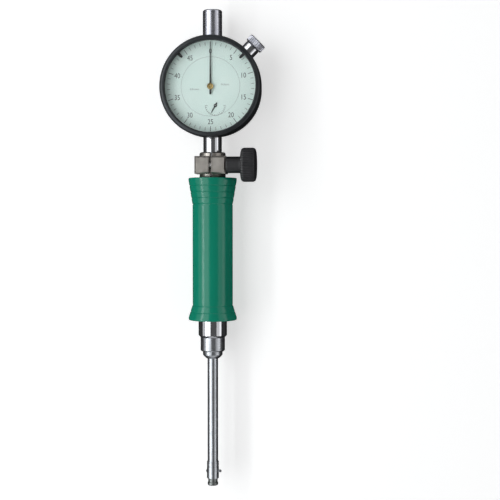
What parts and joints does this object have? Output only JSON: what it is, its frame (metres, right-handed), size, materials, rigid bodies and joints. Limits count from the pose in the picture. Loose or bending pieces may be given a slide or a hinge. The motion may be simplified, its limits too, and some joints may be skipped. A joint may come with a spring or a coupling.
{
  "type": "dial bore gauge",
  "caption": "Small dial bore gauge lying on its back: dial indicator clamped in a green handle, slim tube with a side contact at its tip.",
  "frame": {"origin": "centre of the dial case's flat back, under the dial axis", "axes": "+Z is the dial axis, out of the dial's face; +Y along the gauge from the measuring tip to the dial end; +X to the right of the dial"},
  "size_m": [0.0441, 0.206, 0.0252],
  "materials": {
    "satin_steel": "fine turned, satin",
    "dark_steel": "dark oiled steel",
    "polished_chrome": "polished",
    "satin_chrome": "satin chrome plate",
    "brushed_steel": "milled, brushed",
    "plain_steel": "ground",
    "spring_steel": "drawn wire",
    "carbide": "ground hard metal",
    "brass": "fine turned",
    "green_grip": "glossy moulded plastic",
    "black_case": "black paint, satin",
    "black_bezel": "satin black",
    "black_hand": "matt black",
    "black_knob": "moulded plastic, satin",
    "dial_face": "matt pale mint paint with black print",
    "clear_crystal": "clear acrylic",
    "rubber_seal": "matt rubber"
  },
  "bodies": {
    "gauge": {"head_body": "satin_steel", "end_cap": "dark_steel", "anvil": "dark_steel", "guide_tube": "satin_steel", "tube_socket": "satin_steel", "lock_nut": "satin_steel", "neck_collar": "polished_chrome", "grip": "green_grip", "grip_core": "plain_steel", "spring_seat": "brass", "clamp_collar": "brushed_steel", "stem": "polished_chrome", "lower_bush": "brass", "upper_bush": "brass", "spindle_cap": "satin_chrome", "case": "black_case", "back_cover": "black_case", "back_gasket": "rubber_seal", "back_screws": "plain_steel", "bridge_plate": "brass", "bridge_pillars": "brass", "bridge_screws": "plain_steel", "pivot_bushes": "brass", "rear_bridge": "brass", "rear_pillars": "brass", "hairspring_stud": "brass", "guide_rail": "brass", "spring_post": "plain_steel", "dial_plate": "dial_face", "bezel_clamp_bush": "polished_chrome", "bezel_brake_pin": "plain_steel"},
    "bezel": {"bezel": "black_bezel", "crystal": "clear_crystal", "crystal_retainer": "black_bezel", "dial_ring": "dial_face", "snap_wire": "plain_steel"},
    "limit_hand_left": {"limit_hand_left": "black_hand"},
    "limit_hand_right": {"limit_hand_right": "black_hand"},
    "pointer": {"centre_arbor": "plain_steel", "main_pointer": "black_hand", "pointer_hub": "brass"},
    "rack_arbor": {"rack_arbor": "plain_steel", "drive_wheel": "brass"},
    "counter": {"counter_arbor": "plain_steel", "counter_wheel": "brass", "counter_pointer": "black_hand", "hairspring_collet": "brass", "hairspring": "spring_steel"},
    "spindle": {"spindle": "plain_steel", "contact_point": "plain_steel", "guide_pin": "plain_steel", "return_spring": "spring_steel"},
    "push_rod": {"push_rod": "plain_steel", "rod_collar": "brass", "rod_spring": "spring_steel"},
    "contact": {"contact_pin": "satin_steel", "contact_tip": "carbide"},
    "clamp_knob": {"clamp_knob": "black_knob", "clamp_screw": "plain_steel"},
    "bezel_clamp_screw": {"bezel_clamp_screw": "satin_chrome"}
  },
  "joints": [
    {"name": "pointer_turn", "type": "hinge", "parent": "gauge", "child": "pointer", "pos_m": [0, 0, 0.0165], "axis": [0, 0, -1], "range_deg": [0, 720.01]},
    {"name": "rack_arbor_turn", "type": "hinge", "parent": "gauge", "child": "rack_arbor", "pos_m": [-0.0021, 0.0081, 0.01045], "axis": [0, 0, 1], "range_deg": [0, 60]},
    {"name": "counter_turn", "type": "hinge", "parent": "gauge", "child": "counter", "pos_m": [0.0021, -0.0081, 0.015], "axis": [0, 0, 1], "range_deg": [0, 60], "deforming": ["hairspring"]},
    {"name": "spindle_slide", "type": "slide", "parent": "gauge", "child": "spindle", "axis": [0, 1, 0], "range_m": [0, 0.001], "stiffness_N_per_m": 270, "springref_m": -0.0051, "deforming": ["return_spring"]},
    {"name": "rod_slide", "type": "slide", "parent": "gauge", "child": "push_rod", "axis": [0, 1, 0], "range_m": [0, 0.001], "deforming": ["rod_spring"]},
    {"name": "contact_slide", "type": "slide", "parent": "gauge", "child": "contact", "axis": [-1, 0, 0], "range_m": [0, 0.001]},
    {"name": "bezel_turn", "type": "hinge", "parent": "gauge", "child": "bezel", "pos_m": [0, 0, 0.016], "axis": [0, 0, 1], "continuous": true},
    {"name": "limit_left_turn", "type": "hinge", "parent": "bezel", "child": "limit_hand_left", "pos_m": [0, 0, 0.018], "axis": [0, 0, 1], "continuous": true},
    {"name": "limit_right_turn", "type": "hinge", "parent": "bezel", "child": "limit_hand_right", "pos_m": [0, 0, 0.0185], "axis": [0, 0, 1], "continuous": true},
    {"name": "clamp_knob_turn", "type": "hinge", "parent": "gauge", "child": "clamp_knob", "pos_m": [0.01, -0.0334, 0.01795], "axis": [1, 0, 0], "range_deg": [0, 360]},
    {"name": "bezel_clamp_turn", "type": "hinge", "parent": "gauge", "child": "bezel_clamp_screw", "pos_m": [0.01758, 0.01777, 0.01045], "axis": [0.7034, 0.7108, 0], "range_deg": [0, 180]}
  ],
  "couplings": [
    {"joint": "rod_slide", "follows": "spindle_slide", "ratio": 1},
    {"joint": "contact_slide", "follows": "spindle_slide", "ratio": 1},
    {"joint": "rack_arbor_turn", "follows": "spindle_slide", "rad_per_m": 1047.2},
    {"joint": "counter_turn", "follows": "spindle_slide", "rad_per_m": 1047.2},
    {"joint": "pointer_turn", "follows": "spindle_slide", "rad_per_m": 12566}
  ]
}
